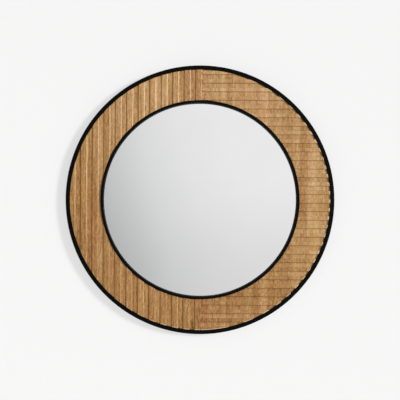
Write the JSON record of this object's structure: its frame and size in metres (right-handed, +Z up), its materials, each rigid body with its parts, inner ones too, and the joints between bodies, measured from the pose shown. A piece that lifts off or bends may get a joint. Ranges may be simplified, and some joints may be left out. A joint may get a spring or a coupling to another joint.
{
  "type": "round wall mirror",
  "caption": "Round wall mirror in a wood ring with upright channels left and level channels right, between two thin black metal hoops.",
  "frame": {"origin": "on the wall plane, behind the middle of the glass", "axes": "-Y out of the glass towards the viewer, +Z up as it hangs, +X to the viewer's right"},
  "size_m": [0.7999, 0.027, 0.8],
  "materials": {
    "black_steel": "satin",
    "wood_upright": "oiled",
    "wood_level": "oiled",
    "plywood": "raw",
    "silvered_glass": "polished",
    "foam_tape": "matte",
    "zinc_steel": "zinc plated",
    "felt": "felt"
  },
  "bodies": {
    "mirror": {"outer_hoop": "black_steel", "inner_hoop": "black_steel", "hoop_tabs": "black_steel", "left_wood_half": "wood_upright", "right_wood_half": "wood_level", "backing_board": "plywood", "mirror_glass": "silvered_glass", "glass_tape": "foam_tape", "tab_screws": "zinc_steel", "wood_half_screws": "zinc_steel", "inner_hoop_screws": "zinc_steel", "wall_bumpers": "felt", "left_hanger_strap": "zinc_steel", "right_hanger_strap": "zinc_steel", "left_hanger_screws": "zinc_steel", "right_hanger_screws": "zinc_steel"},
    "left_ring": {"left_hanger_ring": "zinc_steel"},
    "right_ring": {"right_hanger_ring": "zinc_steel"}
  },
  "joints": [
    {"name": "left_ring_swing", "type": "hinge", "parent": "mirror", "child": "left_ring", "pos_m": [-0.24, -0.00555, 0.25], "axis": [1, 0, 0], "range_deg": [0, 178]},
    {"name": "right_ring_swing", "type": "hinge", "parent": "mirror", "child": "right_ring", "pos_m": [0.24, -0.00555, 0.25], "axis": [1, 0, 0], "range_deg": [0, 178]}
  ]
}
